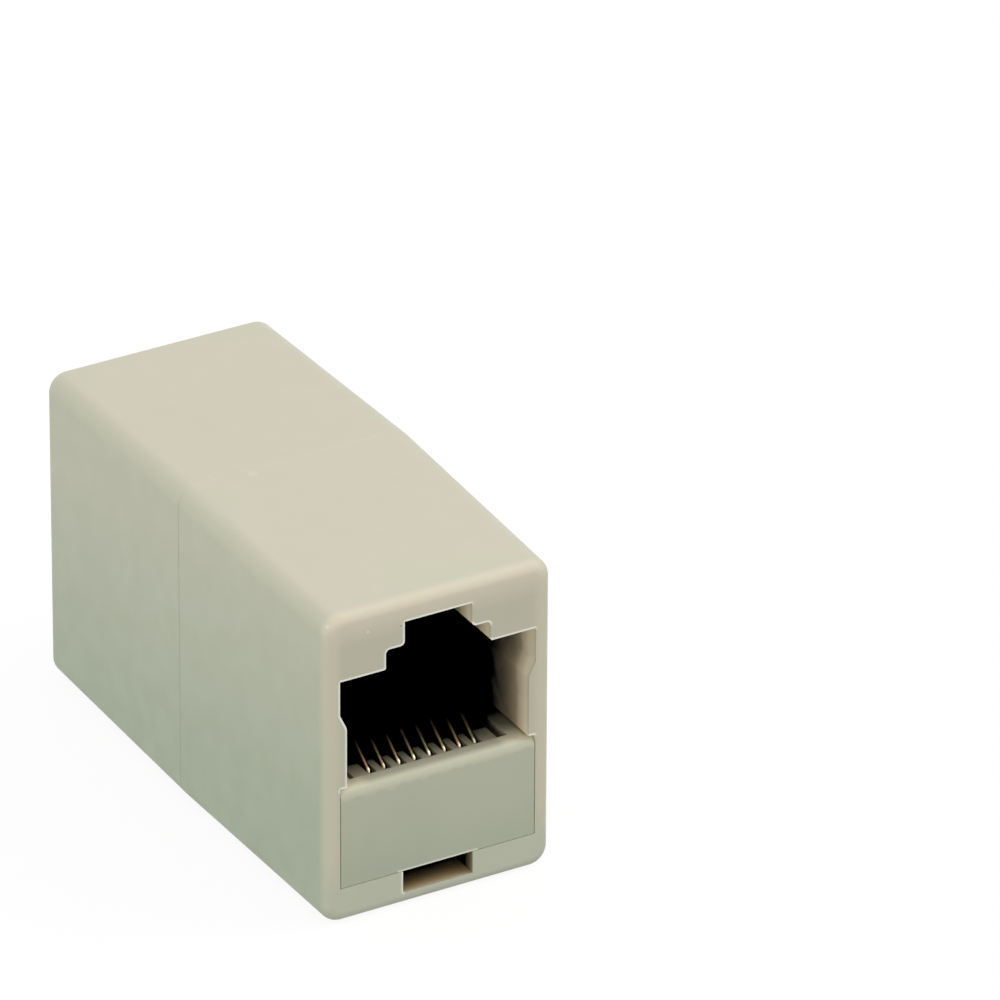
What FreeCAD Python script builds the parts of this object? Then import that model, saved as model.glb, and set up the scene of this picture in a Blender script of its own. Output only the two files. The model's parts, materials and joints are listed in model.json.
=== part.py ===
# Inline coupler for two 8-position modular plugs.
#
# Two equal moulded half shells are joined at mid length. Each one has a stepped mouth for
# the plug and its latch, and holds a contact insert with eight spring wires in a comb.
# Eight insulated leads between the inserts join each contact to its partner.
#
# Frame: millimetres, +Z up towards the latch notch, the front mouth looks along -Y,
# X across the body. The origin is under the middle of the coupler, on the surface it lies on.

import FreeCAD, Part
import math
import os

# Outer body. Every wall leans in from the middle to the mouths, as the mould needs.
body_length = 34.5
mid_width = 15.7
mid_height = 21.2
side_draft = 0.8
top_draft = 1.4
bottom_draft = 0.25
long_edge_radius = 1.25
mouth_edge_radius = 0.7

# Shell walls and the room inside
top_wall = 1.95
mouth_wall = 3.0
cavity_width = 13.1
floor_wall = 0.95
sill_height = 1.46
release_slot_width = 4.7

# Plug channel and latch notch, measured down from the wall above the notch
channel_height = 7.4
plug_depth = 11.6
cheek_thickness = 0.45
cheek_height = 5.15
cheek_lead_in = 0.95
cheek_round = 0.6
cheek_foot_gap = 0.2
latch_wide_width = 7.0
latch_wide_height = 1.3
latch_narrow_width = 4.5
latch_narrow_height = 1.56
guide_rib_width = 1.0
shoulder_round = 0.28
ledge_round = 0.12

# Joint between the two half shells
tongue_length = 1.2
tongue_thickness = 0.6
tongue_height = 13.0
tongue_bottom = 3.4
seam_chamfer = 0.02
fit_gap = 0.05

# Contact insert
lip_radius = 0.55
panel_edge_chamfer = 0.06
lip_depth = 1.1
comb_rear = 3.2
comb_drop = 0.25
comb_half_width = 4.8
comb_rear_round = 0.5
comb_slot_width = 0.56
rail_width = 1.2
base_height = 3.1
stop_wall = 1.5
tip_groove_width = 0.62
tip_groove_depth = 1.0
tip_groove_drop = 0.7
tip_groove_height = 6.0
leg_width = 1.5
leg_height = 3.9

# Contacts
contact_count = 8
contact_pitch = 1.016
contact_diameter = 0.45
wire_behind_lip = 0.64
tail_clearance = 0.04
tail_roof = 2.2
tail_bend_radius = 0.5
nose_bend_radius = 0.6
nose_drop = 0.9
spring_angle = 35.0
spring_end_angle = 15.0
spring_straight = 2.6
spring_curve_radius = 12.0
tip_in_groove = 0.75
tail_reach = 1.0

# Leads between the inserts
lead_diameter = 0.95
lead_start_gap = 0.1
lead_turn_offset = 1.9
lead_first_level = 1.25
lead_level_step = 1.1
lead_max_bend = 1.2
lead_least_run = 0.05

# Places that follow from the sizes above
half_length = body_length / 2
floor_top = floor_wall
sill_top = floor_top + sill_height
notch_top = mid_height - top_wall
ledge_one = notch_top - latch_narrow_height
ledge_two = ledge_one - latch_wide_height
insert_top = ledge_two - channel_height
cavity_half = cavity_width / 2
cheek_foot = insert_top + cheek_foot_gap
cheek_top = insert_top + cheek_height
insert_half = cavity_half - fit_gap
insert_bottom = floor_top + fit_gap
insert_length = plug_depth + stop_wall
tail_z = insert_bottom + tail_roof - contact_diameter / 2 - tail_clearance
tip_groove_bottom = insert_top - tip_groove_drop
overshoot = 1.0
tiny = 1e-3


def drop(angle):
    """Distance that a wall at this draft angle leans in over half the length."""
    return half_length * math.tan(math.radians(angle))


def box(x0, x1, y0, y1, z0, z1):
    """Box between two corners."""
    return Part.makeBox(x1 - x0, y1 - y0, z1 - z0, FreeCAD.Vector(x0, y0, z0))


def depth(value):
    """Y of a place that lies this deep behind the front mouth."""
    return value - half_length


def both_sides(make_piece):
    """The same piece on the right and on the left of the middle plane."""
    right = make_piece()
    left = right.mirror(FreeCAD.Vector(0, 0, 0), FreeCAD.Vector(1, 0, 0))
    return [right, left]


def to_rear(shape):
    """Turn a front piece half a turn about Z, which puts it at the rear mouth."""
    turned = shape.copy()
    turned.rotate(FreeCAD.Vector(0, 0, 0), FreeCAD.Vector(0, 0, 1), 180)
    return turned


def contact_x(number):
    """X of a contact, counted from 1 at the left of the front mouth."""
    return (number - 1 - (contact_count - 1) / 2) * contact_pitch


def round_corner(before, corner, after, radius):
    """Start, middle and end of the arc that rounds one corner of a path."""
    back = (before - corner).normalize()
    ahead = (after - corner).normalize()
    half_angle = back.getAngle(ahead) / 2
    reach = radius / math.tan(half_angle)
    start = corner + back * reach
    end = corner + ahead * reach
    inward = (back + ahead).normalize()
    centre = corner + inward * (radius / math.sin(half_angle))
    middle = centre - inward * radius
    return start, middle, end


def path_edges(points, radii, closed=False):
    """Straight edges and tangent arcs along a list of points, a radius for each corner."""
    count = len(points)
    edges = []
    ends = []
    for index in range(count):
        is_tip = not closed and index in (0, count - 1)
        if is_tip or radii[index] == 0:
            ends.append((points[index], points[index]))
            continue
        arc = round_corner(points[index - 1], points[index], points[(index + 1) % count], radii[index])
        ends.append((arc[0], arc[2]))
        edges.append(Part.Arc(*arc).toShape())
    last = count if closed else count - 1
    for index in range(last):
        start = ends[index][1]
        end = ends[(index + 1) % count][0]
        edges.append(Part.LineSegment(start, end).toShape())
    return Part.Wire(Part.__sortEdges__(edges))


def tube(wire, start, direction, diameter):
    """Round rod along a path of lines and tangent arcs."""
    ring = Part.Wire(Part.makeCircle(diameter / 2, start, direction))
    return wire.makePipeShell([ring], True, False)


def mouth_outline():
    """Stepped opening of the mouth, drawn in the front face, lower right corner first."""
    wide = latch_wide_width / 2
    narrow = latch_narrow_width / 2
    inner = cavity_half - cheek_thickness
    right = [
        (cavity_half, sill_top, 0),
        (cavity_half, cheek_foot, 0),
        (inner, cheek_foot, 0),
        (inner, cheek_top - cheek_lead_in, cheek_round),
        (cavity_half, cheek_top, 0),
        (cavity_half, ledge_two, 0),
        (wide, ledge_two, ledge_round),
        (wide, ledge_one, shoulder_round),
        (narrow, ledge_one, shoulder_round),
        (narrow, notch_top, 0),
    ]
    left = [(-x, z, radius) for x, z, radius in reversed(right)]
    corners = right + left
    points = [FreeCAD.Vector(x, depth(-overshoot), z) for x, z, radius in corners]
    radii = [radius for x, z, radius in corners]
    return path_edges(points, radii, closed=True)


def outer_block():
    """Drafted and rounded outside of one half, from the front mouth to the middle."""
    mid_half = mid_width / 2
    end_half = mid_half - drop(side_draft)
    end_bottom = drop(bottom_draft)
    end_top = mid_height - drop(top_draft)
    block = Part.makeWedge(-end_half, -half_length, end_bottom, 0, -mid_half,
                           end_half, 0, end_top, mid_height, mid_half)
    long_edges = [edge for edge in block.Edges if edge.BoundBox.YLength > half_length / 2]
    block = block.makeFillet(long_edge_radius, long_edges)
    mouth_edges = [edge for edge in block.Edges if edge.BoundBox.YMax < -half_length + tiny]
    block = block.makeFillet(mouth_edge_radius, mouth_edges)
    seam_edges = [edge for edge in block.Edges if edge.BoundBox.YMin > -tiny]
    return block.makeChamfer(seam_chamfer, seam_edges)


def tongue(side, gap):
    """Tongue on one side wall at the middle joint, or its rebate when a gap is given."""
    inner = cavity_half
    outer = inner + tongue_thickness + gap
    z0 = tongue_bottom - gap
    z1 = tongue_bottom + tongue_height + gap
    if side > 0:
        return box(inner, outer, -overshoot, tongue_length, z0, z1)
    return box(-outer, -inner, -tongue_length - gap, overshoot, z0, z1)


def half_shell():
    """Front half of the body."""
    shell = outer_block()
    channel = Part.Face(mouth_outline()).extrude(FreeCAD.Vector(0, plug_depth + overshoot, 0))
    wide = latch_wide_width / 2
    rib_outside = wide + guide_rib_width
    insert_room = box(-cavity_half, cavity_half, depth(mouth_wall), overshoot, floor_top,
                      insert_top + fit_gap)
    rear_room = box(-cavity_half, cavity_half, depth(plug_depth), overshoot, floor_top, notch_top)
    latch_room = box(-wide, wide, depth(mouth_wall), depth(plug_depth), ledge_two, notch_top)
    release_slot = box(-release_slot_width / 2, release_slot_width / 2, depth(-overshoot),
                       depth(mouth_wall), floor_top, sill_top)
    rib_pockets = both_sides(lambda: box(rib_outside, cavity_half, depth(mouth_wall),
                                         depth(plug_depth), ledge_two, notch_top))
    cuts = [channel, insert_room, rear_room, latch_room, release_slot] + rib_pockets
    shell = shell.cut(cuts)
    shell = shell.cut(tongue(-1, fit_gap))
    return shell.fuse(tongue(1, 0)).removeSplitter()


def insert_panel():
    """Front panel with the rounded lip that the plug slides over, and the comb behind it."""
    panel = box(-insert_half, insert_half, depth(0), depth(lip_depth), sill_top, insert_top)
    panel = panel.makeFillet(lip_radius, [edge_at(panel, depth(0), insert_top)])
    seams = [edge_at(panel, depth(0), sill_top)]
    panel = panel.makeChamfer(panel_edge_chamfer, seams)
    comb_top = insert_top - comb_drop
    comb = box(-comb_half_width, comb_half_width, depth(lip_depth), depth(comb_rear),
               sill_top, comb_top)
    comb = comb.makeFillet(comb_rear_round, [edge_at(comb, depth(comb_rear), comb_top)])
    return [panel, comb]


def edge_at(shape, y, z):
    """The edge of a block that runs across X at this Y and Z."""
    for edge in shape.Edges:
        middle = edge.CenterOfMass
        if abs(middle.y - y) < tiny and abs(middle.z - z) < tiny:
            return edge
    raise ValueError("no edge there")


def insert_base():
    """Floor plate, side rails, stop wall and legs behind the panel."""
    floor_z = insert_bottom + base_height
    front_plate = box(-insert_half, insert_half, depth(lip_depth), depth(mouth_wall), sill_top, floor_z)
    plate = box(-insert_half, insert_half, depth(mouth_wall), depth(insert_length),
                insert_bottom, floor_z)
    stop = box(-insert_half, insert_half, depth(plug_depth), depth(insert_length),
               floor_z, notch_top - fit_gap)
    rails = both_sides(lambda: box(insert_half - rail_width, insert_half, depth(lip_depth),
                                   depth(plug_depth), sill_top, insert_top))
    legs = both_sides(lambda: box(insert_half - leg_width, insert_half, depth(insert_length), 0,
                                  insert_bottom, insert_bottom + leg_height))
    return [front_plate, plate, stop] + rails + legs


def contact_insert():
    """Front contact insert with its comb slots, tail grooves and stop wall grooves."""
    panel, *rest = insert_panel()
    body = panel.fuse(rest + insert_base()).removeSplitter()
    slots = []
    for number in range(1, contact_count + 1):
        x = contact_x(number)
        half = comb_slot_width / 2
        slots.append(box(x - half, x + half, depth(lip_depth), depth(comb_rear) + overshoot / 2,
                         insert_bottom + base_height, insert_top + overshoot))
        slots.append(box(x - half, x + half, depth(lip_depth), depth(comb_rear),
                         sill_top - overshoot, insert_top + overshoot))
        slots.append(box(x - half, x + half, depth(lip_depth), depth(insert_length) + overshoot,
                         insert_bottom - overshoot, insert_bottom + tail_roof))
        half = tip_groove_width / 2
        slots.append(box(x - half, x + half, depth(plug_depth) - overshoot,
                         depth(plug_depth + tip_groove_depth),
                         tip_groove_bottom, tip_groove_bottom + tip_groove_height))
    return body.cut(slots)


def contact(number):
    """Front contact: tail under the insert, up through the comb, back as a spring."""
    x = contact_x(number)
    stand_y = depth(lip_depth + wire_behind_lip) + contact_diameter / 2
    tail_end = depth(insert_length + tail_reach)
    steep = math.radians(spring_angle)
    flat = math.radians(spring_end_angle)
    nose_z = insert_top - nose_drop + nose_bend_radius * math.tan((math.pi / 2 - steep) / 2)
    turn = spring_curve_radius * math.tan((steep - flat) / 2)
    knee_y = stand_y + (spring_straight + turn) * math.cos(steep)
    knee_z = nose_z + (spring_straight + turn) * math.sin(steep)
    tip_y = depth(plug_depth + tip_in_groove)
    tip_z = knee_z + (tip_y - knee_y) * math.tan(flat)
    route = [(tail_end, tail_z), (stand_y, tail_z), (stand_y, nose_z), (knee_y, knee_z), (tip_y, tip_z)]
    points = [FreeCAD.Vector(x, y, z) for y, z in route]
    wire = path_edges(points, [0, tail_bend_radius, nose_bend_radius, spring_curve_radius, 0])
    return tube(wire, points[0], FreeCAD.Vector(0, -1, 0), contact_diameter)


def lead_level(number):
    """Height at which a lead crosses: the pairs near the middle cross lowest."""
    rank = sorted(range(1, contact_count + 1), key=lambda n: (abs(contact_x(n)), n)).index(number)
    return tail_z + lead_first_level + lead_level_step * rank


def lead(number, tails):
    """Lead from a front contact to the rear contact of the same number."""
    x = contact_x(number)
    level = lead_level(number)
    start_y = depth(insert_length + lead_start_gap)
    radius = min((level - tail_z - lead_least_run) / 2, lead_max_bend)
    front = [(x, start_y, tail_z), (x, -lead_turn_offset, tail_z), (x, -lead_turn_offset, level)]
    rear = [(-px, -py, pz) for px, py, pz in reversed(front)]
    points = [FreeCAD.Vector(*place) for place in front + rear]
    wire = path_edges(points, [0, radius, radius, radius, radius, 0])
    core = tube(wire, points[0], FreeCAD.Vector(0, 1, 0), lead_diameter)
    return core.cut(tails)


os.makedirs("parts", exist_ok=True)

shell = half_shell()
insert = contact_insert()
nodes = {
    "front_shell": shell,
    "rear_shell": to_rear(shell),
    "front_insert": insert,
    "rear_insert": to_rear(insert),
}
for number in range(1, contact_count + 1):
    front_contact = contact(number)
    rear_contact = to_rear(front_contact)
    nodes["front_contact_%d" % number] = front_contact
    nodes["rear_contact_%d" % number] = rear_contact
    nodes["lead_wire_%d" % number] = lead(number, [front_contact, rear_contact])

for name, shape in nodes.items():
    shape.exportStep("parts/%s.step" % name)
    print(name, len(shape.Solids), "solid", round(shape.Volume, 2), "mm3", shape.isValid())
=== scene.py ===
# %% [markdown]
# # An ivory inline coupler on a white table
# The real object is a small plastic box, 34.5 mm long, with a socket for a modular plug in each
# end. It is moulded in ivory ABS in two equal halves, and each mouth holds a contact insert of
# the same family of plastic with eight gold plated spring wires. The shape of every piece comes
# from the CAD frame that is loaded first. What this file adds is the finish of each surface,
# the light, the table and the camera.

# %% Load the frame
import json
import math

import bpy
from mathutils import Matrix, Vector


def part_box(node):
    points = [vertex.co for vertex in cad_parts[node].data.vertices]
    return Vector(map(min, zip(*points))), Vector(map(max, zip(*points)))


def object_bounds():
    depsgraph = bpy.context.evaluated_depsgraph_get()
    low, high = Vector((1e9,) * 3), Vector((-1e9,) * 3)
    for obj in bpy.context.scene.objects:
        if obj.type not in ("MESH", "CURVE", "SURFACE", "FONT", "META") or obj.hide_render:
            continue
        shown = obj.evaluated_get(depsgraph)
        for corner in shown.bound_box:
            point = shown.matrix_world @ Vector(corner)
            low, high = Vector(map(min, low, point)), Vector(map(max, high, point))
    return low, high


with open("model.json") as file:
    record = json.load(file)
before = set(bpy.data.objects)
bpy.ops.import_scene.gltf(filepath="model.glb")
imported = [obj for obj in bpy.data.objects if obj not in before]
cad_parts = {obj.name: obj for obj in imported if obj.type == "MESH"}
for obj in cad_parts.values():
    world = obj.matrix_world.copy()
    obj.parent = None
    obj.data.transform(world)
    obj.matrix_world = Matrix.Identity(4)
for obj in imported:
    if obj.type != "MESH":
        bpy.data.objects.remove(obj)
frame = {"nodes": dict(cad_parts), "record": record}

MM = 0.001
cad_low, cad_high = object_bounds()
print("size in mm:", [round(x / MM, 2) for x in cad_high - cad_low])

# %% [markdown]
# ## The camera
# A picture of a product this small is taken from well over half a metre with a long lens, so that
# its edges stay nearly parallel. The place, the heading and the lens were found by fitting the
# straight edges of the body in the picture, with the body standing in its own frame. A camera could
# also be aimed with a constraint, but plain angles are easier to read and to check.

# %% Camera
CAMERA_PLACE_MM = (-288.33, -525.70, 351.89)
CAMERA_HEADING = 29.902
CAMERA_DOWN = 29.087
CAMERA_ROLL = 0.322
LENS_MM = 417.29
SENSOR_MM = 36.0
CLIP_START, CLIP_END = 0.01, 10.0


def turned_camera(heading, down, roll):
    """Rotation of a camera that looks along +Y, turned right, tipped down and rolled."""
    turn = Matrix.Rotation(math.radians(-heading), 4, "Z")
    tip = Matrix.Rotation(math.radians(90 - down), 4, "X")
    lean = Matrix.Rotation(math.radians(roll), 4, "Z")
    return turn @ tip @ lean


camera_data = bpy.data.cameras.new("picture_camera")
camera_data.lens = LENS_MM
camera_data.sensor_width = SENSOR_MM
camera_data.clip_start, camera_data.clip_end = CLIP_START, CLIP_END
camera = bpy.data.objects.new("picture_camera", camera_data)
bpy.context.scene.collection.objects.link(camera)
camera.matrix_world = (Matrix.Translation(Vector(CAMERA_PLACE_MM) * MM)
                       @ turned_camera(CAMERA_HEADING, CAMERA_DOWN, CAMERA_ROLL))
bpy.context.scene.camera = camera
bpy.context.scene.view_settings.view_transform = "Standard"
print("camera stands", round(camera.location.length, 3), "m from the coupler")

# %% [markdown]
# ## Colours and nodes
# A hex colour is what a colour picker shows on the screen, and a shader wants linear light, so one
# function turns the one into the other. A second function adds a node, sets its properties and
# fills or links its sockets, so that each material below reads as a list of what is done to it. A
# Mix node has sockets of one name for every kind of value, so its colour sockets go by number.

# %% Helpers for every material
COLOUR_A, COLOUR_B, MIXED = 6, 7, 2


def linear(hex_colour):
    """Linear RGBA of an sRGB hex colour such as #CEC9B7."""
    def channel(value):
        return value / 12.92 if value <= 0.04045 else ((value + 0.055) / 1.055) ** 2.4
    shares = [int(hex_colour[start:start + 2], 16) / 255 for start in (1, 3, 5)]
    return tuple(channel(share) for share in shares) + (1.0,)


def add(tree, kind, sockets=None, **settings):
    """Add a node with its settings. A socket gets a value, an output, or a node's first output."""
    node = tree.nodes.new(kind)
    for name, value in settings.items():
        setattr(node, name, value)
    for name, value in (sockets or {}).items():
        source = value.outputs[0] if isinstance(value, bpy.types.Node) else value
        if isinstance(source, bpy.types.NodeSocket):
            tree.links.new(source, node.inputs[name])
        else:
            node.inputs[name].default_value = source
    return node


def new_material(name):
    """Empty node material, its node tree and its output node."""
    material = bpy.data.materials.new(name)
    material.use_nodes = True
    material.node_tree.nodes.clear()
    output = add(material.node_tree, "ShaderNodeOutputMaterial")
    return material, material.node_tree, output


def per_mm(size_mm):
    """Texture scale that makes one feature of a noise this many millimetres wide."""
    return 1 / (size_mm * MM)


print("ivory in linear light:", [round(x, 3) for x in linear("#CEC9B7")])

# %% [markdown]
# ## The painted dark inside the sockets
# The picture is exposed for the outside, so everything deeper in a socket than about 5 mm is black
# in it, and the last light on the walls is brown. Pale walls throw more light about in a render
# than the picture shows. A black plug could be put in the hole, but then the wires and the wall
# would not fade into the dark as they do. So the shade is painted: the finishes themselves get
# browner and darker with the depth behind the nearest mouth, and only inside the room that holds
# the inserts. A power below one lets the painted dark set in steeply and then slow down, as light
# does that falls into a hole. A noise of 0.8 mm stretches and shortens the depth a little, so that
# the edge of the painted shade, and of the other marks that go by depth, is never a straight line.

# %% How deep a point lies inside a socket
ROOM_MARGIN_MM = 0.1
RAGGED_DEPTH_MM = 0.8
RAGGED_DEPTH_STRETCH = (0.95, 1.05)
NOISE_LOW, NOISE_HIGH = 0.35, 0.65
BROAD_DETAIL = 2.0
insert_low, insert_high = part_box("front_insert")
ROOM_HALF_WIDTH = insert_high.x + ROOM_MARGIN_MM * MM
ROOM_BOTTOM = insert_low.z - ROOM_MARGIN_MM * MM
ROOM_TOP = insert_high.z + ROOM_MARGIN_MM * MM
HALF_LENGTH = cad_high.y


def darkness(tree, place, start_mm, end_mm, power=1.0, bottom=ROOM_BOTTOM, top=ROOM_TOP,
             half_width=ROOM_HALF_WIDTH):
    """Share of painted shade, or of another mark that goes by depth: 0 outside and near the mouths,
    rising to 1 between two depths inside the sockets.
    """
    across, along, up = add(tree, "ShaderNodeSeparateXYZ", {"Vector": place}).outputs
    from_middle = add(tree, "ShaderNodeMath", {0: along}, operation="ABSOLUTE")
    behind = add(tree, "ShaderNodeMath", {0: HALF_LENGTH, 1: from_middle}, operation="SUBTRACT")
    # Noise that frays the edge of the painted shade and of the other marks that go by depth.
    shade_mottle = add(tree, "ShaderNodeTexNoise", {
        "Vector": place, "Scale": per_mm(RAGGED_DEPTH_MM), "Detail": BROAD_DETAIL})
    stretch = add(tree, "ShaderNodeMapRange", {
        "Value": shade_mottle, "From Min": NOISE_LOW, "From Max": NOISE_HIGH,
        "To Min": RAGGED_DEPTH_STRETCH[0], "To Max": RAGGED_DEPTH_STRETCH[1]})
    ragged = add(tree, "ShaderNodeMath", {0: behind, 1: stretch}, operation="MULTIPLY")
    deep = add(tree, "ShaderNodeMapRange", {"Value": ragged, "From Min": start_mm * MM,
                                            "From Max": end_mm * MM})
    bent = add(tree, "ShaderNodeMath", {0: deep, 1: power}, operation="POWER")
    aside = add(tree, "ShaderNodeMath", {0: across}, operation="ABSOLUTE")
    within = add(tree, "ShaderNodeMath", {0: aside, 1: half_width}, operation="LESS_THAN")
    above = add(tree, "ShaderNodeMath", {0: up, 1: bottom}, operation="GREATER_THAN")
    below = add(tree, "ShaderNodeMath", {0: up, 1: top}, operation="LESS_THAN")
    layer = add(tree, "ShaderNodeMath", {0: above, 1: below}, operation="MULTIPLY")
    room = add(tree, "ShaderNodeMath", {0: layer, 1: within}, operation="MULTIPLY")
    return add(tree, "ShaderNodeMath", {0: bent, 1: room}, operation="MULTIPLY")


print("room in mm:", round(2 * ROOM_HALF_WIDTH / MM, 2), "wide, up to", round(ROOM_TOP / MM, 2))

# %% [markdown]
# ## Moulded ABS of the shell: its colour, with painted light and shade
# The shell is injection moulded acrylonitrile butadiene styrene, ABS for short, from a steel mould
# with a fine stoned finish. To the eye the top is a warm ivory, the sides are a cooler green grey
# low down and warm up with the height, and the rim round each mouth is yellower than the face
# inside it, except at its foot. Much of this is light: the sides are painted darker and greener
# than the top as painted shade, most of all low down by the table, and the rim is painted lighter
# as a painted highlight on its rounded edges, most of all along the top. One flat colour would look
# like paint. A picture could be painted by hand, but noise and the place on the body do it without
# one: a noise of 14 mm lets the colour drift, and the direction and height of a face set how much
# painted shade or light it gets. The walls inside the mouth look sideways too, so the green grey of
# the sides starts only further out than they lie.

# %% Ivory colour by face and place
IVORY_TOP = "#D5CEBB"
IVORY_TOP_YELLOWED = "#D1D0B8"
IVORY_SIDE_SHADED = "#B3BEA8"
IVORY_SIDE_HIGH = "#CBCCB8"
IVORY_FACE = "#C9C6B2"
IVORY_RIM_LIT = "#D5D0B8"
IVORY_FOOT = "#C9CBB8"
IVORY_RIM_TOP_HIGHLIGHT = "#E3D8C2"
DRIFT_MM = 14.0
SIDE_SHADE_FADE_MM = (4.5, 18.5)
SIDE_SHADE_TILT = 0.2
OUTSIDE_ASIDE_MM = (6.7, 7.0)
RIM_ASIDE_MM = (6.3, 6.9)
RIM_UP_MM = (18.6, 20.3)
FOOT_UP_MM = (2.2, 4.5)


def ivory_colour_and_painted_light(tree, place):
    """Colour of the shell's outside, with painted shade and painted light, from the direction and
    the place of its faces.
    """
    facing = add(tree, "ShaderNodeNewGeometry").outputs["Normal"]
    facing_x, facing_y, _ = add(tree, "ShaderNodeSeparateXYZ", {"Vector": facing}).outputs
    across, along, up = add(tree, "ShaderNodeSeparateXYZ", {"Vector": place}).outputs
    drift = add(tree, "ShaderNodeTexNoise", {
        "Vector": place, "Scale": per_mm(DRIFT_MM), "Detail": BROAD_DETAIL})
    patches = add(tree, "ShaderNodeMapRange", {
        "Value": drift, "From Min": NOISE_LOW, "From Max": NOISE_HIGH})
    top = add(tree, "ShaderNodeMix", {"Factor": patches, COLOUR_A: linear(IVORY_TOP),
                                      COLOUR_B: linear(IVORY_TOP_YELLOWED)}, data_type="RGBA")
    # Painted shade: the sides are darker and greener than the top, most of all low down, and
    # lighter higher up.
    tilted = add(tree, "ShaderNodeMath", {0: along, 1: SIDE_SHADE_TILT, 2: up},
                 operation="MULTIPLY_ADD")
    height = add(tree, "ShaderNodeMapRange", {"Value": tilted, "From Min": SIDE_SHADE_FADE_MM[0] * MM,
                                              "From Max": SIDE_SHADE_FADE_MM[1] * MM})
    side = add(tree, "ShaderNodeMix", {"Factor": height, COLOUR_A: linear(IVORY_SIDE_SHADED),
                                       COLOUR_B: linear(IVORY_SIDE_HIGH)}, data_type="RGBA")

    # Painted light: the rim round each mouth is lighter and yellower, most of all along its upper
    # rounded edge.
    aside = add(tree, "ShaderNodeMath", {0: across}, operation="ABSOLUTE")
    outer = add(tree, "ShaderNodeMapRange", {"Value": aside, "From Min": RIM_ASIDE_MM[0] * MM,
                                             "From Max": RIM_ASIDE_MM[1] * MM})
    upper = add(tree, "ShaderNodeMapRange", {"Value": up, "From Min": RIM_UP_MM[0] * MM,
                                             "From Max": RIM_UP_MM[1] * MM})
    rim_lit = add(tree, "ShaderNodeMix", {"Factor": outer, COLOUR_A: linear(IVORY_FACE),
                                         COLOUR_B: linear(IVORY_RIM_LIT)}, data_type="RGBA")
    off_foot = add(tree, "ShaderNodeMapRange", {"Value": up, "From Min": FOOT_UP_MM[0] * MM,
                                                "From Max": FOOT_UP_MM[1] * MM})
    footed = add(tree, "ShaderNodeMix", {"Factor": off_foot, COLOUR_A: linear(IVORY_FOOT),
                                         COLOUR_B: rim_lit.outputs[MIXED]}, data_type="RGBA")
    face = add(tree, "ShaderNodeMix", {"Factor": upper, COLOUR_A: footed.outputs[MIXED],
                                       COLOUR_B: linear(IVORY_RIM_TOP_HIGHLIGHT)}, data_type="RGBA")

    outside = add(tree, "ShaderNodeMapRange", {"Value": aside, "From Min": OUTSIDE_ASIDE_MM[0] * MM,
                                               "From Max": OUTSIDE_ASIDE_MM[1] * MM})
    sideways = add(tree, "ShaderNodeMath", {0: facing_x}, operation="ABSOLUTE")
    to_side = add(tree, "ShaderNodeMath", {0: sideways, 1: outside}, operation="MULTIPLY")
    to_mouth = add(tree, "ShaderNodeMath", {0: facing_y}, operation="ABSOLUTE")
    sided = add(tree, "ShaderNodeMix", {"Factor": to_side, COLOUR_A: top.outputs[MIXED],
                                        COLOUR_B: side.outputs[MIXED]}, data_type="RGBA")
    faced = add(tree, "ShaderNodeMix", {"Factor": to_mouth, COLOUR_A: sided.outputs[MIXED],
                                        COLOUR_B: face.outputs[MIXED]}, data_type="RGBA")
    return faced.outputs[MIXED]


print("rim starts", RIM_ASIDE_MM[0], "mm from the middle")

# %% [markdown]
# ## Painted highlights on the edges
# The sharp edges of the mouth at the left and along the upper steps, and those of the little slot,
# catch the light in thin lines, and that highlight is painted into the colour as a near white. They
# could be drawn as separate strips, but a Bevel node already knows where they are: near an edge the
# rounded normal that it gives leans away from the real one, and the way it leans tells the left and
# upper edges.

# %% Painted edge highlights
EDGE_HIGHLIGHT = "#FFFFF4"
EDGE_WIDTH_MM = 0.24
EDGE_SAMPLES = 8
EDGE_LEAN = (0.999, 0.993)
EDGE_TURN = (-0.01, -0.06)
INSERT_TOP_MM = 8.99
SLOT_EDGES_ASIDE_MM = 2.7
SLOT_EDGES_UP_MM = 2.7
MOUTH_ZONE_MM = 0.8


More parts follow.
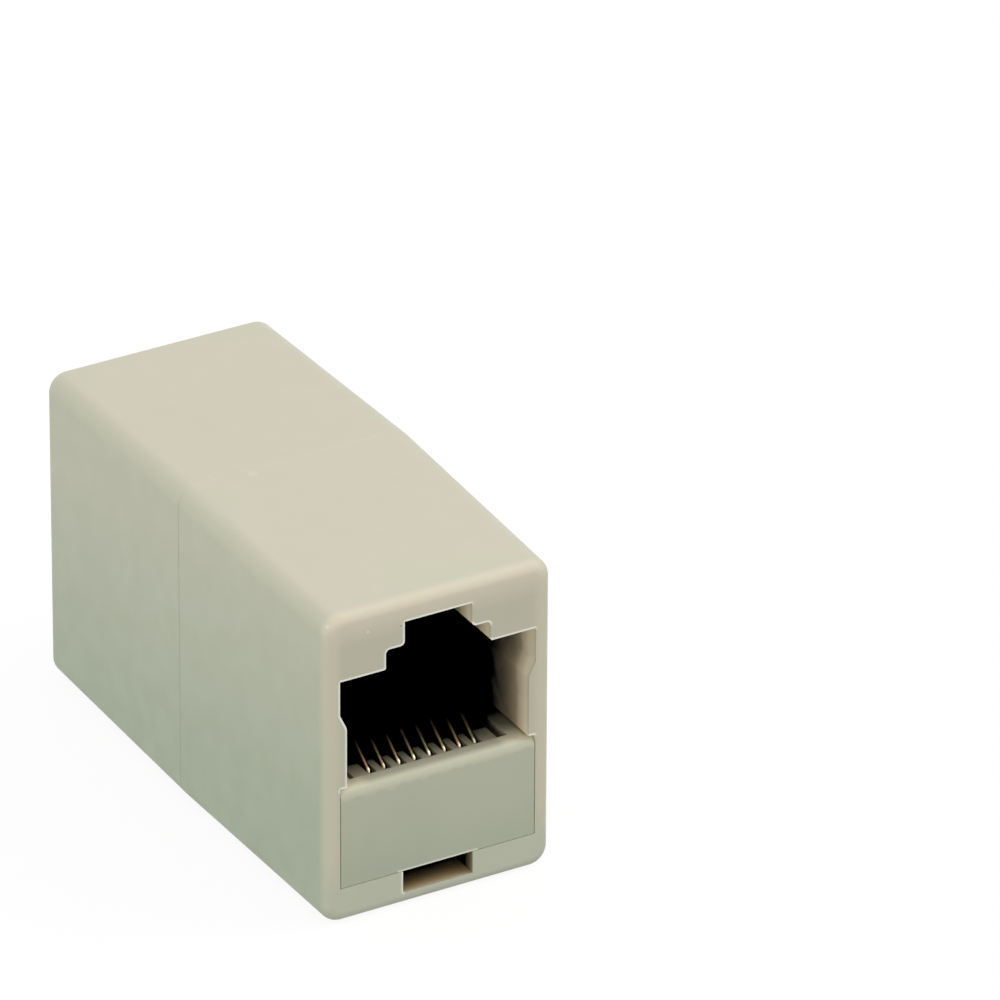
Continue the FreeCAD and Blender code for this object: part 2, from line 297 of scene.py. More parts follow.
def painted_edge_highlights(tree, place, colour):
    """The given colour with a painted highlight along the left and upper edges of the mouth and the
    slot.
    """
    across, along, up = add(tree, "ShaderNodeSeparateXYZ", {"Vector": place}).outputs
    facing = add(tree, "ShaderNodeNewGeometry").outputs["Normal"]
    rounded = add(tree, "ShaderNodeBevel", {"Radius": EDGE_WIDTH_MM * MM}, samples=EDGE_SAMPLES)
    agree = add(tree, "ShaderNodeVectorMath", {0: facing, 1: rounded}, operation="DOT_PRODUCT")
    edge = add(tree, "ShaderNodeMapRange", {
        "Value": agree.outputs["Value"], "From Min": EDGE_LEAN[0], "From Max": EDGE_LEAN[1]})

    lean_x, _, lean_z = add(tree, "ShaderNodeSeparateXYZ", {"Vector": rounded}).outputs
    end = add(tree, "ShaderNodeMath", {0: along}, operation="SIGN")
    against = add(tree, "ShaderNodeMath", {0: lean_x, 1: end}, operation="MULTIPLY")
    least = add(tree, "ShaderNodeMath", {0: against, 1: lean_z}, operation="MINIMUM")
    leaning = add(tree, "ShaderNodeMapRange", {
        "Value": least, "From Min": EDGE_TURN[0], "From Max": EDGE_TURN[1]})

    aside = add(tree, "ShaderNodeMath", {0: across}, operation="ABSOLUTE")
    over_panel = add(tree, "ShaderNodeMath", {0: up, 1: INSERT_TOP_MM * MM},
                     operation="GREATER_THAN")
    at_foot = add(tree, "ShaderNodeMath", {0: up, 1: SLOT_EDGES_UP_MM * MM}, operation="LESS_THAN")
    at_slot = add(tree, "ShaderNodeMath", {0: aside, 1: SLOT_EDGES_ASIDE_MM * MM},
                  operation="LESS_THAN")
    slot = add(tree, "ShaderNodeMath", {0: at_foot, 1: at_slot}, operation="MULTIPLY")
    zone = add(tree, "ShaderNodeMath", {0: over_panel, 1: slot}, operation="MAXIMUM")

    from_middle = add(tree, "ShaderNodeMath", {0: along}, operation="ABSOLUTE")
    at_mouth = add(tree, "ShaderNodeMath", {0: from_middle, 1: HALF_LENGTH - MOUTH_ZONE_MM * MM},
                   operation="GREATER_THAN")
    here = add(tree, "ShaderNodeMath", {0: zone, 1: at_mouth}, operation="MULTIPLY")

    # Painted highlight: near white where the bevelled normal leans left or up.
    turned = add(tree, "ShaderNodeMath", {0: edge, 1: leaning}, operation="MULTIPLY")
    share = add(tree, "ShaderNodeMath", {0: turned, 1: here}, operation="MULTIPLY")
    painted_pale = add(tree, "ShaderNodeMix", {"Factor": share, COLOUR_A: colour,
                                       COLOUR_B: linear(EDGE_HIGHLIGHT)}, data_type="RGBA")
    return painted_pale.outputs[MIXED]


print("pale edges up to", MOUTH_ZONE_MM, "mm behind the mouths")

# %% [markdown]
# ## The weld and the specks
# The two halves were welded at mid length, which leaves a hairline: on the sides it holds dust,
# and on the top it is painted pale, a painted light that hides the shade in the groove, so that it
# hardly shows. The halves already meet in a chamfer of a fiftieth of a millimetre, which is too
# fine to catch the eye, so a line of colour does the rest. A few specks lie in the face round the
# mouth, and one on the top beside the weld. A noise would strew them anywhere, so each is a small
# blot at a place read off the picture.

# %% Weld line and specks
WELD_DUST = "#9BA08E"
WELD_TOP_LIT = "#E9E4CF"
WELD_LINE_MM = (0.03, 0.08)
WELD_STRENGTH = 0.5
SPECKS_MM = (((-7.33, -17.10, 20.25), 0.22, "#F1EBDA"), ((-4.69, -17.25, 19.25), 0.10, "#EFE9D8"),
             ((-2.50, -17.25, 19.04), 0.07, "#8A8370"), ((-3.10, -0.45, 21.20), 0.40, "#D8D4C2"))


def marks_and_highlights(tree, place, colour):
    """The given colour with painted edge highlights, a weld line that is dust on the sides and
    painted light on the top, and a few specks.
    """
    along = add(tree, "ShaderNodeSeparateXYZ", {"Vector": place}).outputs["Y"]
    from_weld = add(tree, "ShaderNodeMath", {0: along}, operation="ABSOLUTE")
    edged = painted_edge_highlights(tree, place, colour)

    # The weld line is dust where it faces sideways and painted light where it faces up.
    rounded = add(tree, "ShaderNodeBevel", {"Radius": EDGE_WIDTH_MM * MM}, samples=EDGE_SAMPLES)
    upwards = add(tree, "ShaderNodeSeparateXYZ", {"Vector": rounded}).outputs["Z"]
    weld = add(tree, "ShaderNodeMix", {"Factor": upwards, COLOUR_A: linear(WELD_DUST),
                                       COLOUR_B: linear(WELD_TOP_LIT)}, data_type="RGBA")
    near_weld = add(tree, "ShaderNodeMapRange", {
        "Value": from_weld, "From Min": WELD_LINE_MM[0] * MM, "From Max": WELD_LINE_MM[1] * MM,
        "To Min": WELD_STRENGTH, "To Max": 0.0})
    result = add(tree, "ShaderNodeMix", {"Factor": near_weld, COLOUR_A: edged,
                                         COLOUR_B: weld.outputs[MIXED]}, data_type="RGBA")
    for centre, radius, hex_colour in SPECKS_MM:
        middle = tuple(value * MM for value in centre)
        away = add(tree, "ShaderNodeVectorMath", {0: place, 1: middle}, operation="DISTANCE")
        speck = add(tree, "ShaderNodeMapRange", {
            "Value": away.outputs["Value"], "From Min": radius * MM / 2, "From Max": radius * MM,
            "To Min": 1.0, "To Max": 0.0})
        result = add(tree, "ShaderNodeMix", {"Factor": speck, COLOUR_A: result.outputs[MIXED],
                                             COLOUR_B: linear(hex_colour)}, data_type="RGBA")
    return result.outputs[MIXED]


widest_speck_mm = 2 * max(radius for _, radius, _ in SPECKS_MM)
print("specks:", len(SPECKS_MM), "up to", widest_speck_mm, "mm across")

# %% [markdown]
# ## The walls of the socket
# From just behind the edge the walls of the socket are painted pale, as painted light where the
# light falls in at the mouth, and then they go brown and black with the depth, which is painted
# shade. More light falls on the side walls high up, so the painted dark starts a little deeper
# there:
# the place is read as if it lay up to half a millimetre nearer to the mouth. A second material for
# the inside would meet the outside in a hard line, so both stay one finish.

# %% Socket walls
SILL_TOP_MM = 2.41
# Brown and then black are the painted shade deep in the sockets.
SOCKET_BROWN = "#BBAB8F"
SOCKET_BLACK = "#020202"
# Painted light on the walls just behind the mouth.
WALL_LIT = "#F0E4C8"
WALL_LIT_MM = (0.02, 0.3)
WALL_BROWN_MM = (0.5, 1.5)
WALL_DARK_MM = (1.3, 4.4)
WALL_DARK_POWER = 0.6
SIDE_WALL_MM = 5.5
HIGH_WALL_MM = (12.5, 15.5)
HIGH_WALL_SHIFT = 0.026


def in_the_dark(tree, colour, brown, dark, brown_colour=linear(SOCKET_BROWN)):
    """The given colour, turned brown and then black by two shares of painted shade."""
    browned = add(tree, "ShaderNodeMix", {"Factor": brown, COLOUR_A: colour,
                                          COLOUR_B: brown_colour}, data_type="RGBA")
    darkened = add(tree, "ShaderNodeMix", {"Factor": dark, COLOUR_A: browned.outputs[MIXED],
                                           COLOUR_B: linear(SOCKET_BLACK)}, data_type="RGBA")
    return darkened.outputs[MIXED]


def lit_from_above(tree, place):
    """The place, moved towards the mouth high up on the side walls, where more light falls."""
    across, along, up = add(tree, "ShaderNodeSeparateXYZ", {"Vector": place}).outputs
    aside = add(tree, "ShaderNodeMath", {0: across}, operation="ABSOLUTE")
    on_wall = add(tree, "ShaderNodeMath", {0: aside, 1: SIDE_WALL_MM * MM},
                  operation="GREATER_THAN")
    high = add(tree, "ShaderNodeMapRange", {
        "Value": up, "From Min": HIGH_WALL_MM[0] * MM, "From Max": HIGH_WALL_MM[1] * MM,
        "To Max": HIGH_WALL_SHIFT})
    shift = add(tree, "ShaderNodeMath", {0: high, 1: on_wall}, operation="MULTIPLY")
    moved = add(tree, "ShaderNodeMath", {0: along, 1: shift, 2: along}, operation="MULTIPLY_ADD")
    return add(tree, "ShaderNodeCombineXYZ", {0: across, 1: moved, 2: up})


def socket_walls(tree, place, outside):
    """The outside colour, taken on into the socket with painted light and painted shade, and the
    share of it that is black.
    """
    sill = SILL_TOP_MM * MM
    inner = lit_from_above(tree, place)
    painted_pale = darkness(tree, place, *WALL_LIT_MM, bottom=sill)
    wall_lit = add(tree, "ShaderNodeMix", {"Factor": painted_pale, COLOUR_A: outside,
                                           COLOUR_B: linear(WALL_LIT)}, data_type="RGBA")
    brown = darkness(tree, inner, *WALL_BROWN_MM, bottom=sill)
    dark = darkness(tree, inner, *WALL_DARK_MM, power=WALL_DARK_POWER, bottom=sill)
    return in_the_dark(tree, wall_lit.outputs[MIXED], brown, dark), dark


print("walls go black from", WALL_DARK_MM[0], "to", WALL_DARK_MM[1], "mm behind the mouth")

# %% [markdown]
# ## The slot under the panel
# The little slot is a hole of its own in the same shell, and it is painted a warmer brown and then
# black with the depth, as painted shade for the light that bounces about in it. Its floor is
# painted light for longer than its two side walls, which are painted in shade from the start. The
# direction of a face tells the walls from the floor, so no face has to be picked by hand.

# %% Slot under the panel
# Painted shade in the slot: brown first, then black with the depth.
SLOT_BROWN = "#BFA577"
SLOT_HALF_WIDTH_MM = 2.4
SLOT_BROWN_MM = (0.0, 0.4)
SLOT_DARK_MM = (0.4, 2.0)
SLOT_WALL_DARK_MM = (-0.45, 0.9)


def turned_sideways(tree):
    """How far a face looks to the left or the right: 1 on a side wall, 0 on a floor."""
    facing = add(tree, "ShaderNodeNewGeometry").outputs["Normal"]
    facing_x = add(tree, "ShaderNodeSeparateXYZ", {"Vector": facing}).outputs["X"]
    return add(tree, "ShaderNodeMath", {0: facing_x}, operation="ABSOLUTE")


def slot_hole(tree, place, colour):
    """The given colour, browned and darkened as painted shade inside the slot, and the share that
    is black.
    """
    inside = {"top": SILL_TOP_MM * MM, "half_width": SLOT_HALF_WIDTH_MM * MM}
    brown = darkness(tree, place, *SLOT_BROWN_MM, **inside)
    floor_dark = darkness(tree, place, *SLOT_DARK_MM, **inside)
    wall_dark = darkness(tree, place, *SLOT_WALL_DARK_MM, **inside)
    sides_dark = add(tree, "ShaderNodeMath", {0: wall_dark, 1: turned_sideways(tree)},
                     operation="MULTIPLY")
    dark = add(tree, "ShaderNodeMath", {0: floor_dark, 1: sides_dark}, operation="MAXIMUM")
    return in_the_dark(tree, colour, brown, dark, linear(SLOT_BROWN)), dark


print("slot is read as", 2 * SLOT_HALF_WIDTH_MM, "mm wide")

# %% [markdown]
# ## The whole shell material
# A stoned mould leaves an even satin: no grain at arm's length, and soft broad highlights. The
# refractive index of ABS is 1.54. A noise of 1.6 mm makes faint flow marks in the gloss, and one of
# 0.12 mm is the stoned surface, which is finer on the real part and is drawn as coarse as it must
# be to show at all in the picture. Even black plastic mirrors a twentieth of the room, and deep in
# a socket there is no room left to mirror, so the darkest part turns metallic: black metal mirrors
# nothing. The square of the dark share does that, which leaves half dark walls mostly plastic.

# %% Shell material
ABS_IOR = 1.54
SHELL_ROUGHNESS = (0.42, 0.54)
FLOW_MM = 1.6
FLOW_DETAIL = 3.0
FLOW_HEIGHT_MM = 0.02
FLOW_STRENGTH = 0.3
STONED_MM = 0.12
STONED_DETAIL = 1.0
GRAIN_HEIGHT_MM = 0.02
GRAIN_STRENGTH = 0.12
SOFT_EDGE_MM = 0.03
SOFT_EDGE_SAMPLES = 4
HOLE_POWER = 2.0


def black_hole(tree, dark):
    """Metallic share that takes the last mirror light out of the dark."""
    return add(tree, "ShaderNodeMath", {0: dark, 1: HOLE_POWER}, operation="POWER")


def ivory_abs():
    """Ivory ABS of the shell, with marks and painted light outside and painted shade inside."""
    material, tree, output = new_material("ivory_moulded_abs")
    place = add(tree, "ShaderNodeTexCoord").outputs["Object"]
    outside = marks_and_highlights(tree, place, ivory_colour_and_painted_light(tree, place))
    walled, wall_dark = socket_walls(tree, place, outside)
    colour, slot_dark = slot_hole(tree, place, walled)
    dark = add(tree, "ShaderNodeMath", {0: wall_dark, 1: slot_dark}, operation="MAXIMUM")

    flow = add(tree, "ShaderNodeTexNoise", {
        "Vector": place, "Scale": per_mm(FLOW_MM), "Detail": FLOW_DETAIL})
    stoned = add(tree, "ShaderNodeTexNoise", {
        "Vector": place, "Scale": per_mm(STONED_MM), "Detail": STONED_DETAIL})
    satin = add(tree, "ShaderNodeMapRange", {
        "Value": flow, "From Min": NOISE_LOW, "From Max": NOISE_HIGH,
        "To Min": SHELL_ROUGHNESS[0], "To Max": SHELL_ROUGHNESS[1]})
    rough = add(tree, "ShaderNodeMath", {0: satin, 1: dark}, operation="MAXIMUM")
    soft_edge = add(tree, "ShaderNodeBevel", {"Radius": SOFT_EDGE_MM * MM},
                    samples=SOFT_EDGE_SAMPLES)
    waves = add(tree, "ShaderNodeBump", {"Height": flow, "Strength": FLOW_STRENGTH,
                                         "Distance": FLOW_HEIGHT_MM * MM, "Normal": soft_edge})
    grain = add(tree, "ShaderNodeBump", {"Height": stoned, "Strength": GRAIN_STRENGTH,
                                         "Distance": GRAIN_HEIGHT_MM * MM, "Normal": waves})
    surface = add(tree, "ShaderNodeBsdfPrincipled", {
        "Base Color": colour, "Metallic": black_hole(tree, dark), "Roughness": rough,
        "IOR": ABS_IOR, "Normal": grain})
    tree.links.new(surface.outputs[0], output.inputs["Surface"])
    return material


shell_abs = ivory_abs()
print(shell_abs.name, "nodes:", len(shell_abs.node_tree.nodes))

# %% [markdown]
# ## Moulded ABS of the contact insert: the panel and its lip
# The insert is a separate moulding, in a batch of plastic that came out a little greener. Plugs
# slide over its lip, which is painted paler and warmer down to a slightly ragged line, partly as
# wear and partly as a painted highlight on its rounded top, and the panel below the lip gets greyer
# towards its foot. A straight line of wear and light would look painted, so a noise is added to the
# height before it is compared with the line.

# %% Colour of the panel and its lip
PANEL_TOP = "#C0C3AE"
PANEL_FOOT = "#B4BBA6"
PANEL_MM = (2.5, 8.3)
PANEL_MOTTLE = 0.5
# Paler lip: partly wear, partly a painted highlight on the rounded top.
LIP_WORN_AND_LIT = "#CACAB3"
LIP_WORN_AND_LIT_MM = (0.75, 0.55)
LIP_RAGGED_MM = 0.9


def panel_colour(tree, up, drift, flow):
    """Greenish ivory that is greyer at the foot of the panel and warmer on the lip, partly wear and
    partly painted highlight.
    """
    height = add(tree, "ShaderNodeMapRange", {"Value": up, "From Min": PANEL_MM[0] * MM,
                                              "From Max": PANEL_MM[1] * MM})
    mottle = add(tree, "ShaderNodeMapRange", {
        "Value": drift, "From Min": NOISE_LOW, "From Max": NOISE_HIGH,
        "To Min": -PANEL_MOTTLE / 2, "To Max": PANEL_MOTTLE / 2})
    patches = add(tree, "ShaderNodeMath", {0: height, 1: mottle}, operation="ADD", use_clamp=True)
    moulded = add(tree, "ShaderNodeMix", {"Factor": patches, COLOUR_A: linear(PANEL_FOOT),
                                          COLOUR_B: linear(PANEL_TOP)}, data_type="RGBA")

    ragged = add(tree, "ShaderNodeMath", {0: flow, 1: LIP_RAGGED_MM * MM, 2: up},
                 operation="MULTIPLY_ADD")
    line = (INSERT_TOP_MM + LIP_RAGGED_MM / 2) * MM
    on_lip = add(tree, "ShaderNodeMapRange", {
        "Value": ragged, "From Min": line - LIP_WORN_AND_LIT_MM[0] * MM,
        "From Max": line - LIP_WORN_AND_LIT_MM[1] * MM})
    lipped = add(tree, "ShaderNodeMix", {"Factor": on_lip, COLOUR_A: moulded.outputs[MIXED],
                                         COLOUR_B: linear(LIP_WORN_AND_LIT)}, data_type="RGBA")
    return lipped.outputs[MIXED]


print("panel fades over", round(PANEL_MM[1] - PANEL_MM[0], 2), "mm")

# %% [markdown]
# ## The comb and the rails
# Behind the lip stands the comb, between two rails. Just behind the lip the rails are painted pale
# as painted light, and the comb only a little. Both then go dark with the depth in painted shade,
# as the walls do, but through spotty olive and tan, a noise of a third of a millimetre that mottles
# the painted shade. The same depth functions serve as for the walls.

# %% Colour of the comb and the rails
# Painted light just behind the lip, strongest on the rails.
COMB_LIT = "#F2E9CD"
COMB_LIT_MM = (0.1, 0.5)
COMB_LIT_SHARE = 0.15
RAIL_ASIDE_MM = (4.3, 4.9)
# Olive and tan mottle the brown of the painted shade on the comb.
COMB_OLIVE = "#B6B897"
COMB_TAN = "#B9A595"
COMB_MOTTLE_MM = 0.35
COMB_BROWN_MM = (0.6, 1.7)
COMB_DARK_MM = (1.6, 3.7)
COMB_DARK_POWER = 0.75


def comb_colour(tree, place, colour):
    """The given colour, with painted light and then mottled painted shade behind the lip, and the
    share that is black.
    """
    across = add(tree, "ShaderNodeSeparateXYZ", {"Vector": place}).outputs["X"]
    aside = add(tree, "ShaderNodeMath", {0: across}, operation="ABSOLUTE")
    on_rail = add(tree, "ShaderNodeMapRange", {
        "Value": aside, "From Min": RAIL_ASIDE_MM[0] * MM, "From Max": RAIL_ASIDE_MM[1] * MM,
        "To Min": COMB_LIT_SHARE})
    behind_edge = darkness(tree, place, *COMB_LIT_MM)
    lit_share = add(tree, "ShaderNodeMath", {0: behind_edge, 1: on_rail}, operation="MULTIPLY")
    comb_lit = add(tree, "ShaderNodeMix", {"Factor": lit_share, COLOUR_A: colour,
                                         COLOUR_B: linear(COMB_LIT)}, data_type="RGBA")
    mottle_noise = add(tree, "ShaderNodeTexNoise", {
        "Vector": place, "Scale": per_mm(COMB_MOTTLE_MM), "Detail": BROAD_DETAIL})
    spots = add(tree, "ShaderNodeMapRange", {
        "Value": mottle_noise, "From Min": NOISE_LOW, "From Max": NOISE_HIGH})
    shade_mottle = add(tree, "ShaderNodeMix", {"Factor": spots, COLOUR_A: linear(COMB_OLIVE),
                                        COLOUR_B: linear(COMB_TAN)}, data_type="RGBA")
    brown = darkness(tree, place, *COMB_BROWN_MM)
    dark = darkness(tree, place, *COMB_DARK_MM, power=COMB_DARK_POWER)
    return in_the_dark(tree, comb_lit.outputs[MIXED], brown, dark, shade_mottle.outputs[MIXED]), dark


print("comb goes black from", COMB_DARK_MM[0], "to", COMB_DARK_MM[1], "mm behind the mouth")

# %% [markdown]
# ## The whole insert material
# The insert's mould was polished, so it is a little glossier than the shell, and the light on its
# panel waves slowly. A noise of 6 mm makes those waves and lets the colour drift with them, and one
# of 0.9 mm varies the gloss and frays the line of wear and painted highlight on the lip.

# %% Insert material
INSERT_ROUGHNESS = (0.34, 0.46)
INSERT_DRIFT_MM = 6.0
INSERT_FLOW_MM = 0.9
DRIFT_HEIGHT_MM = 0.12
DRIFT_STRENGTH = 0.3


def insert_plastic():
    """Greenish ivory ABS from a polished mould, worn and painted light on the lip and painted dark
    behind it.
    """
    material, tree, output = new_material("greenish_moulded_abs")
    place = add(tree, "ShaderNodeTexCoord").outputs["Object"]
    up = add(tree, "ShaderNodeSeparateXYZ", {"Vector": place}).outputs["Z"]
    drift = add(tree, "ShaderNodeTexNoise", {
        "Vector": place, "Scale": per_mm(INSERT_DRIFT_MM), "Detail": BROAD_DETAIL})
    flow = add(tree, "ShaderNodeTexNoise", {
        "Vector": place, "Scale": per_mm(INSERT_FLOW_MM), "Detail": FLOW_DETAIL})
    edged = painted_edge_highlights(tree, place, panel_colour(tree, up, drift, flow))
    colour, dark = comb_colour(tree, place, edged)

    gloss = add(tree, "ShaderNodeMapRange", {
        "Value": flow, "From Min": NOISE_LOW, "From Max": NOISE_HIGH,
        "To Min": INSERT_ROUGHNESS[0], "To Max": INSERT_ROUGHNESS[1]})
    rough = add(tree, "ShaderNodeMath", {0: gloss, 1: dark}, operation="MAXIMUM")
    soft_edge = add(tree, "ShaderNodeBevel", {"Radius": SOFT_EDGE_MM * MM},
                    samples=SOFT_EDGE_SAMPLES)
    waves = add(tree, "ShaderNodeBump", {"Height": drift, "Strength": DRIFT_STRENGTH,
                                         "Distance": DRIFT_HEIGHT_MM * MM, "Normal": soft_edge})
    surface = add(tree, "ShaderNodeBsdfPrincipled", {
        "Base Color": colour, "Metallic": black_hole(tree, dark), "Roughness": rough,
        "IOR": ABS_IOR, "Normal": waves})
    tree.links.new(surface.outputs[0], output.inputs["Surface"])
    return material


insert_abs = insert_plastic()
print(insert_abs.name, "nodes:", len(insert_abs.node_tree.nodes))

# %% [markdown]
# ## Gold plated spring wire
# A contact is round phosphor bronze wire with a hard gold plating. It was drawn through a die,
# which leaves fine lines along it, and plated bright, so it shows sharp streaks of light and is
# dark where it mirrors the socket. A metal is full metallic with the plating's colour as its
# reflection.
# Stretched noise along the wire varies the roughness. The colour carries painted light: a near
# white painted glint at the foot of each wire, and painted shade on the flanks, so that only a
# narrow streak along the top stays bright. Behind the bend the painted streak turns red brown and
# green in clouds of noise, and deeper in the socket the wire is painted dark.

# %% Contact material
# A near white painted glint at the foot, red brown and green streak colours behind it, and painted
# shade on the flanks.
GOLD_GLINT = "#FFF9E6"
STREAK_RED = "#C79482"
STREAK_GREEN = "#A9A67C"
STREAK_CLOUDS_MM = 1.2
GOLD_ROUGHNESS = (0.16, 0.28)
DRAW_LINE_MM = 0.05
DRAW_STRETCH = 0.08
SCRATCH_MM = 0.005
SCRATCH_STRENGTH = 0.2
GLINT_END_MM = (1.7, 2.2)
WIRE_DARK_MM = (1.9, 3.6)
WIRE_DARK_POWER = 0.8
WIRE_DARK = "#020101"
FLANK_SHADE = "#2A1A12"
FLANK_TURN = (0.12, 0.5)


def gold_wire():
    """Gold plating on drawn wire, with a painted glint, painted shade on its flanks and painted
    dark deep in the socket.
    """
    material, tree, output = new_material("gold_plated_bronze_wire")
    place = add(tree, "ShaderNodeTexCoord").outputs["Object"]
    stretched = add(tree, "ShaderNodeMapping", {"Vector": place, "Scale": (1.0, DRAW_STRETCH, 1.0)})
    lines = add(tree, "ShaderNodeTexNoise", {"Vector": stretched, "Scale": per_mm(DRAW_LINE_MM)})
    clouds = add(tree, "ShaderNodeTexNoise", {"Vector": place, "Scale": per_mm(STREAK_CLOUDS_MM)})
    greener = add(tree, "ShaderNodeMapRange", {
        "Value": clouds, "From Min": NOISE_LOW, "From Max": NOISE_HIGH})
    streak_clouds = add(tree, "ShaderNodeMix", {"Factor": greener, COLOUR_A: linear(STREAK_RED),
                                          COLOUR_B: linear(STREAK_GREEN)}, data_type="RGBA")
    glint_and_streak = add(tree, "ShaderNodeMix", {"Factor": darkness(tree, place, *GLINT_END_MM),
                                          COLOUR_A: linear(GOLD_GLINT),
                                          COLOUR_B: streak_clouds.outputs[MIXED]}, data_type="RGBA")
    flank = add(tree, "ShaderNodeMapRange", {
        "Value": turned_sideways(tree), "From Min": FLANK_TURN[0], "From Max": FLANK_TURN[1]})
    flanks_shaded = add(tree, "ShaderNodeMix", {"Factor": flank, COLOUR_A: glint_and_streak.outputs[MIXED],
                                           COLOUR_B: linear(FLANK_SHADE)}, data_type="RGBA")
    dark = darkness(tree, place, *WIRE_DARK_MM, power=WIRE_DARK_POWER)
    colour = add(tree, "ShaderNodeMix", {"Factor": dark, COLOUR_A: flanks_shaded.outputs[MIXED],
                                         COLOUR_B: linear(WIRE_DARK)}, data_type="RGBA")
    rough = add(tree, "ShaderNodeMapRange", {
        "Value": lines, "From Min": NOISE_LOW, "From Max": NOISE_HIGH,
        "To Min": GOLD_ROUGHNESS[0], "To Max": GOLD_ROUGHNESS[1]})
    scratch = add(tree, "ShaderNodeBump", {"Height": lines, "Strength": SCRATCH_STRENGTH,
                                           "Distance": SCRATCH_MM * MM})
    surface = add(tree, "ShaderNodeBsdfPrincipled", {
        "Base Color": colour.outputs[MIXED], "Metallic": 1.0, "Roughness": rough,
        "Normal": scratch})
    tree.links.new(surface.outputs[0], output.inputs["Surface"])
    return material


contact_gold = gold_wire()
print(contact_gold.name, "nodes:", len(contact_gold.node_tree.nodes))

# %% [markdown]
# ## PVC insulation of the leads
# The leads between the two inserts are insulated in soft polyvinyl chloride, PVC, extruded in the
# eight colours of flat telephone cable. Extruded PVC is semi gloss with a slight orange peel. One
# function makes all eight, because only the colour differs.

# %% Lead materials
LEAD_COLOURS = {"blue": "#2F5FA8", "orange": "#D9772B", "black": "#26262A", "red": "#B5312C",
                "green": "#2F8A4C", "yellow": "#DDBB3A", "brown": "#73482E", "white": "#D8D7CF"}
PVC_IOR = 1.53
PVC_SHADE = 0.8
PVC_ROUGHNESS = (0.28, 0.42)
ORANGE_PEEL_MM = 0.25
PEEL_HEIGHT_MM = 0.01
PEEL_STRENGTH = 0.2


def lead_insulation(name, hex_colour):
    """Semi gloss extruded PVC of one colour."""
    material, tree, output = new_material("pvc_insulation_" + name)
    place = add(tree, "ShaderNodeTexCoord").outputs["Object"]
    peel = add(tree, "ShaderNodeTexNoise", {"Vector": place, "Scale": per_mm(ORANGE_PEEL_MM)})
    full = linear(hex_colour)
    shade = tuple(PVC_SHADE * share for share in full[:3]) + (1.0,)
    colour = add(tree, "ShaderNodeMix", {"Factor": peel, COLOUR_A: shade, COLOUR_B: full},
                 data_type="RGBA")
    rough = add(tree, "ShaderNodeMapRange", {
        "Value": peel, "From Min": NOISE_LOW, "From Max": NOISE_HIGH,
        "To Min": PVC_ROUGHNESS[0], "To Max": PVC_ROUGHNESS[1]})
    skin = add(tree, "ShaderNodeBump", {"Height": peel, "Strength": PEEL_STRENGTH,
                                        "Distance": PEEL_HEIGHT_MM * MM})
    surface = add(tree, "ShaderNodeBsdfPrincipled", {
        "Base Color": colour.outputs[MIXED], "Roughness": rough, "IOR": PVC_IOR, "Normal": skin})
    tree.links.new(surface.outputs[0], output.inputs["Surface"])
    return material


finishes = {"shell_abs": shell_abs, "insert_abs": insert_abs, "contact_gold": contact_gold}
for colour_name, hex_colour in LEAD_COLOURS.items():
    finishes["lead_" + colour_name] = lead_insulation(colour_name, hex_colour)
print("finishes:", sorted(finishes))

# %% [markdown]
# ## Giving each piece its finish
# The record that comes with the frame names a material slot for every piece, so the pieces find
# their finish by that name. The pieces themselves stay exactly as they were made.

# %% Put the finishes on
for part in frame["record"]["subparts"]:
    piece = frame["nodes"][part["node"]]
    for material_slot in piece.material_slots:
        material_slot.material = finishes[part["material_slot"]]

# %% [markdown]
# ## The table
# A cut-out picture has pure white around the object. Turning up the lamps until a grey floor goes
# white would bleach the ivory too. So for rays that come straight from the camera the floor is
# white paint, and most of it glows a little above 1, which is white. The rest is lit paint, and
# that part keeps the soft shadow under the coupler. The light that the floor throws back onto the
# coupler comes from grey paint, because the pale underside in a white room would be too bright.

# %% Table and background
FLOOR_WHITE = "#FAFAFA"
FLOOR_GREY = "#9A9A98"
FLOOR_ROUGHNESS = 0.9
FLOOR_HALF = 1.5
FLOOR_GLOW = 0.88
GLOW_STRENGTH = 1.03
WHITE = (1.0, 1.0, 1.0, 1.0)


def seen_directly(tree):
    """1 for rays from the camera, mirror rays and rays through glass, and 0 for the rest."""
    path = add(tree, "ShaderNodeLightPath").outputs
    mirror = add(tree, "ShaderNodeMath", {0: path["Is Glossy Ray"], 1: path["Is Transmission Ray"]},
                 operation="MAXIMUM")
    return add(tree, "ShaderNodeMath", {0: path["Is Camera Ray"], 1: mirror}, operation="MAXIMUM")


def white_table():
    """Matt white paint that glows for the camera and keeps a share of its shadow."""
    material, tree, output = new_material("matt_white_paint")
    direct = seen_directly(tree)
    paint = add(tree, "ShaderNodeMix", {"Factor": direct, COLOUR_A: linear(FLOOR_GREY),
                                        COLOUR_B: linear(FLOOR_WHITE)}, data_type="RGBA")
    matt = add(tree, "ShaderNodeBsdfPrincipled", {"Base Color": paint.outputs[MIXED],
                                                  "Roughness": FLOOR_ROUGHNESS})
    glow = add(tree, "ShaderNodeEmission", {"Color": WHITE, "Strength": GLOW_STRENGTH})
    share = add(tree, "ShaderNodeMath", {0: direct, 1: FLOOR_GLOW}, operation="MULTIPLY")
    blend = add(tree, "ShaderNodeMixShader", {0: share, 1: matt, 2: glow})
    tree.links.new(blend.outputs[0], output.inputs["Surface"])
    return material


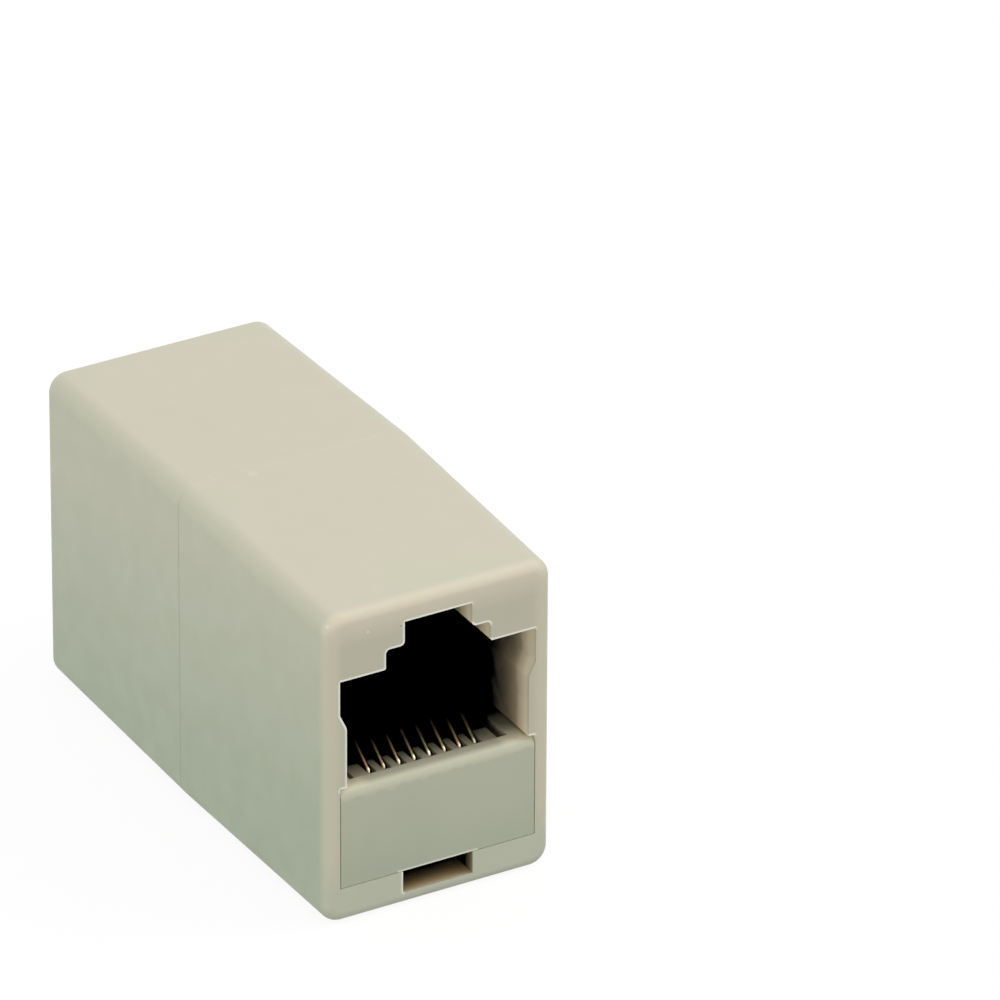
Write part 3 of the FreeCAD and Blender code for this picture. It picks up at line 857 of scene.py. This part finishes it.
floor_mesh = bpy.data.meshes.new("table_top")
corners = [(-FLOOR_HALF, -FLOOR_HALF, 0), (FLOOR_HALF, -FLOOR_HALF, 0),
           (FLOOR_HALF, FLOOR_HALF, 0), (-FLOOR_HALF, FLOOR_HALF, 0)]
floor_mesh.from_pydata(corners, [], [(0, 1, 2, 3)])
floor_mesh.materials.append(white_table())
table_top = bpy.data.objects.new("table_top", floor_mesh)
bpy.context.scene.collection.objects.link(table_top)
print("floor is", 2 * FLOOR_HALF, "m wide")

# %% [markdown]
# ## The room
# In the picture the top is the brightest face, the mouth and the side have about three quarters of
# its light, and no rounded edge between them is brighter than the top. One strong lamp can't do
# that: a rounded edge that faces it would shine. A pale room all round the coupler does, so most of
# the light comes from the world.

# %% World light
AMBIENT = "#F4F6F6"
AMBIENT_STRENGTH = 0.78
world = bpy.data.worlds.new("studio_room")
bpy.context.scene.world = world
world.use_nodes = True
world.node_tree.nodes.clear()
room = add(world.node_tree, "ShaderNodeBackground", {
    "Color": linear(AMBIENT), "Strength": AMBIENT_STRENGTH})
white = add(world.node_tree, "ShaderNodeBackground", {"Color": WHITE, "Strength": 1.0})
seen = add(world.node_tree, "ShaderNodeMixShader", {
    0: seen_directly(world.node_tree), 1: room, 2: white})
add(world.node_tree, "ShaderNodeOutputWorld", {"Surface": seen})
print("world strength", AMBIENT_STRENGTH)

# %% [markdown]
# ## The lamps
# Two softboxes give the light its direction. How fast the rounded edges get darker tells where they
# stand. The edge above the left side darkens within its first 40 degrees, so the main light comes
# from the right, half way up. The edge between the mouth and the left side is a little lighter than
# both, so a weaker light stands low in front of it on the left. That one also reaches the right
# wall inside the mouth.

# %% Lamps
def softbox(name, azimuth, elevation, distance, size, watts, hex_colour):
    """Square lamp that looks at the coupler. Azimuth 0 is in front of the mouth, minus is left."""
    data = bpy.data.lights.new(name, "AREA")
    data.shape = "SQUARE"
    data.size = size
    data.energy = watts
    data.color = linear(hex_colour)[:3]
    around, up = math.radians(azimuth), math.radians(elevation)
    towards = Vector((math.sin(around) * math.cos(up), -math.cos(around) * math.cos(up),
                      math.sin(up)))
    lamp = bpy.data.objects.new(name, data)
    lamp.location = (cad_low + cad_high) / 2 + towards * distance
    lamp.rotation_euler = towards.to_track_quat("Z", "Y").to_euler()
    bpy.context.scene.collection.objects.link(lamp)
    return lamp


softbox("right_softbox", azimuth=69, elevation=43, distance=0.55, size=0.3, watts=0.9,
        hex_colour="#FFFDF6")
softbox("left_softbox", azimuth=-61, elevation=8, distance=0.6, size=0.15, watts=0.8,
        hex_colour="#FFFBF0")
